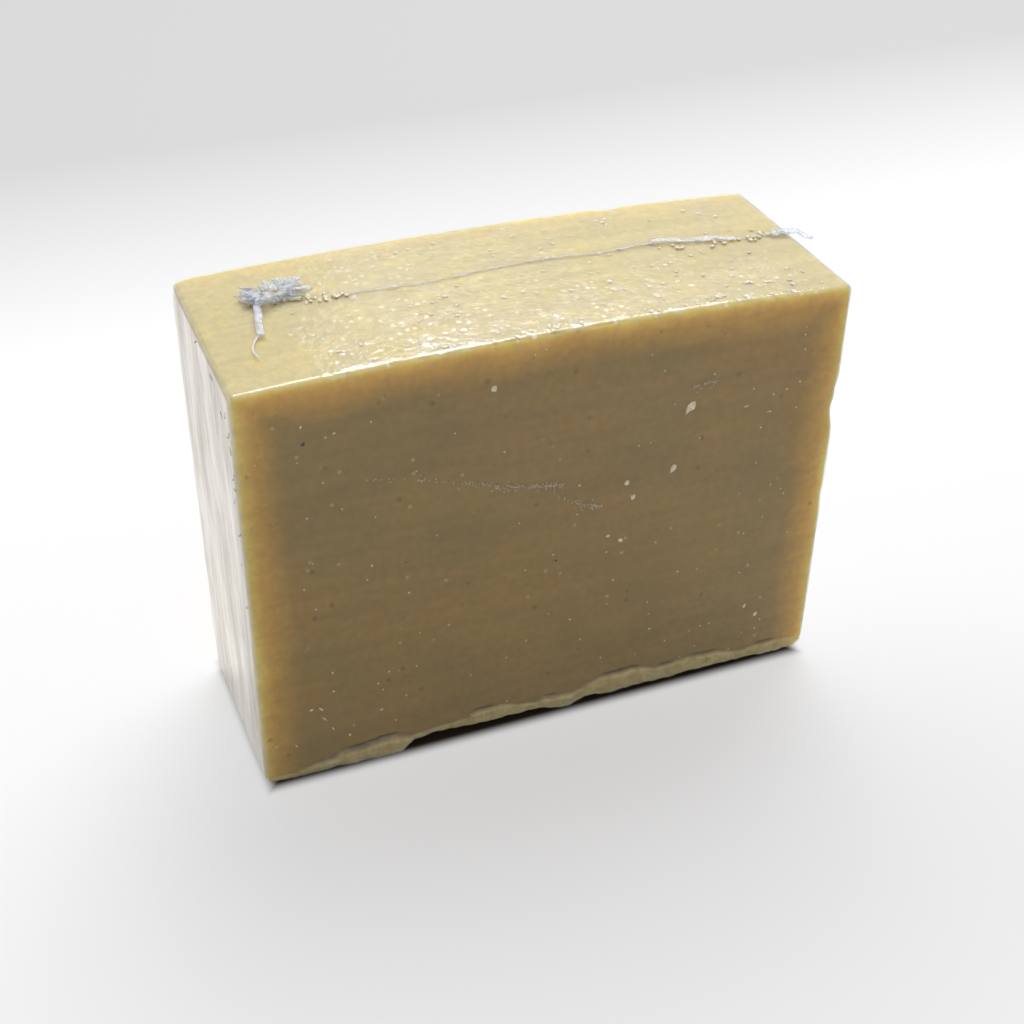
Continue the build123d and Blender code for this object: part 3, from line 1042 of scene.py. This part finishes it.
def scatter(name, count, material, smallest, largest, seed):
    """Small chips scattered over the front and back faces. The two sizes are radii in millimetres."""
    tree = repeat_tree(name, chip_shape, material)
    chance = np.random.default_rng(seed)
    places, directions = [], []
    for side in (-1, 1):
        xs = chance.uniform(-40, 40, count)
        zs = chance.uniform(4, 61, count)
        block = np.column_stack([xs, np.full(count, side * soap_half[1]), zs - soap_half[2]])
        for point in hand_cut(block, soap_half):
            places.append((point[0], point[1] - side * 0.02, point[2]))
            directions.append((0, side, 0))
    return strew(name, places, directions, tree, smallest, largest, flatness=0.35, stretch=1.5, seed=seed)


finish_piece(make_flakes("soap_flakes", large_flakes, flake_material), "soap_bar")
finish_piece(make_flakes("soap_bits", dark_flakes, speck_material), "soap_bar")
finish_piece(scatter("soap_pale_specks", 90, flake_material, 0.04, 0.14, 12), "soap_bar")
finish_piece(scatter("soap_dark_specks", 110, speck_material, 0.03, 0.08, 27), "soap_bar")

# %% [markdown]
# ## The floor
# The floor is pale and plain. To the camera it is lifted towards white by some light of its own,
# which leaves the soap's shadow on it and adds no light to the room. Before the bar that lift is
# dimmed in a soft pool, a painted shadow. It stops under the bar, where the gap below its rough foot
# has to stay dark, and there the floor is painted dark brown, a painted shadow as well.

# %% Floor
foot_half = (0.0412, 0.0146)     # half length and half depth of the bar's foot, in metres
floor_lift = 0.62                # share of the floor's look that is light of its own
floor_shades = [(0.15, 0.97), (0.25, 1.03), (0.39, 1.08), (0.52, 0.73)]
floor_stops = [(0.0, (0.98, 0.97, 0.98))]
floor_stops += [(share, (shade, shade * 0.995, shade)) for share, shade in floor_shades]
floor_stops += [(1.0, (0.70, 0.70, 0.71))]


def floor_finish():
    """A matt floor with a graded lift, a painted shadow pool before the bar and painted dark shade under it.
    """
    material, tree, output = new_material("pale floor")
    place = object_space(tree)
    parts = add_node(tree, "ShaderNodeSeparateXYZ", {"Vector": place})
    share = add_node(tree, "ShaderNodeMapRange", {
        "Value": parts.outputs["Y"], "From Min": -0.20, "From Max": 0.60}).outputs["Result"]
    ramp = colour_ramp(tree, share, floor_stops)
    # A painted shadow: the floor's lift is dimmed in a soft pool in front of the bar.
    pool = add_node(tree, "ShaderNodeMapping", {
        "Vector": place, "Location": (0.0, 0.9, 0.0), "Scale": (12.0, 20.0, 0.0)}).outputs["Vector"]
    reach = add_node(tree, "ShaderNodeVectorMath", {0: pool}, operation="LENGTH").outputs["Value"]
    shaded = band(tree, reach, 0.1, 1.3, 0.80, 1.0)
    # Under the foot and fading out just past it, the floor is painted dark brown: a painted contact shadow.
    past = [math_node(tree, "SUBTRACT", math_node(tree, "ABSOLUTE", parts.outputs[axis]), half)
            for axis, half in zip("XY", foot_half)]
    clear_of_bar = band(tree, math_node(tree, "MAXIMUM", *past), -0.0012, 0.0014)
    lifted = times(tree, seen_rays(tree), times(tree, clear_of_bar, floor_lift))
    glow = add_node(tree, "ShaderNodeEmission", {"Color": ramp, "Strength": shaded})
    plain = mix_colour(tree, 1.0, ramp, (0.80, 0.80, 0.80), "MULTIPLY")
    # The dark brown here is the painted contact shadow.
    shade = mix_colour(tree, clear_of_bar, (0.06, 0.045, 0.03), plain)
    matt = add_node(tree, "ShaderNodeBsdfDiffuse", {"Color": shade})
    mixed = add_node(tree, "ShaderNodeMixShader", {0: lifted, 1: matt.outputs[0], 2: glow.outputs[0]})
    tree.links.new(mixed.outputs[0], output.inputs["Surface"])
    return material


side = 1500.0                    # half the floor's width
floor = make_piece("floor", [(-side, -side, 0), (side, -side, 0), (side, side, 0), (-side, side, 0)],
                   [(0, 1, 2, 3)], floor_finish())
print("floor, mm:", 2 * side)

# %% [markdown]
# ## Light
# A bare studio would do with the sky alone, but the bright line along the top's front edge needs a
# source to mirror. A large soft lamp overhead gives that and the shadow, a weak one stands where a
# window would, and a dim sky fills the shaded front. The camera sees the same sky as white.

# %% Light
sky_fill = 0.41
world = bpy.data.worlds.new("soft room")
bpy.context.scene.world = world
world.use_nodes = True
air = world.node_tree
air.nodes.clear()
strength = add_node(air, "ShaderNodeMapRange", {
    "Value": seen_rays(air), "To Min": sky_fill, "To Max": 1.0}).outputs["Result"]
sky = add_node(air, "ShaderNodeBackground", {"Color": (1, 1, 1, 1), "Strength": strength})
air.links.new(sky.outputs[0], air.nodes.new("ShaderNodeOutputWorld").inputs["Surface"])


def soft_lamp(name, place, aim, size, power):
    """A square soft lamp that looks at a point; millimetres and watts."""
    lamp = bpy.data.lights.new(name, "AREA")
    lamp.shape = "SQUARE"
    lamp.size = size * MM
    lamp.energy = power
    holder = add_object(name, lamp)
    direction = Vector(aim) - Vector(place)
    holder.location = Vector(place) * MM
    holder.rotation_euler = direction.to_track_quat("-Z", "Y").to_euler()
    print(name, "lamp, watts:", power, "size, mm:", size)


soft_lamp("ceiling", (250, 360, 920), (0, 0, 40), 560, 8.0)
soft_lamp("window", (380, 760, 860), (0, 0, 60), 460, 0.8)

# %% [markdown]
# ## The camera
# The camera looks down on the bar's top, front and left end at once. It is placed by a turn round the
# bar, a rise above it and a distance, because those are easier to judge than three coordinates. The
# small roll is a hand-held tilt.

# %% Camera
view_turn = math.radians(-22.64)     # round the bar, from straight in front
view_rise = math.radians(34.46)
view_roll = math.radians(0.82)
view_distance = 237.8                # from the target, in millimetres
view_target = Vector((-0.08, 0.0, 26.65))
lens = 58.5

back = Vector((math.sin(view_turn) * math.cos(view_rise), -math.cos(view_turn) * math.cos(view_rise),
               math.sin(view_rise)))
camera = add_object("camera", bpy.data.cameras.new("camera"))
camera.data.lens = lens
camera.data.sensor_width = 36.0
camera.data.clip_start = 0.01
camera.location = (view_target + back * view_distance) * MM
roll = Matrix.Rotation(view_roll, 3, back)
camera.rotation_euler = (roll @ back.to_track_quat("Z", "Y").to_matrix()).to_euler()
bpy.context.scene.camera = camera
bpy.context.scene.view_settings.view_transform = "Standard"
print("camera's field of view, degrees:", round(math.degrees(camera.data.angle), 1))
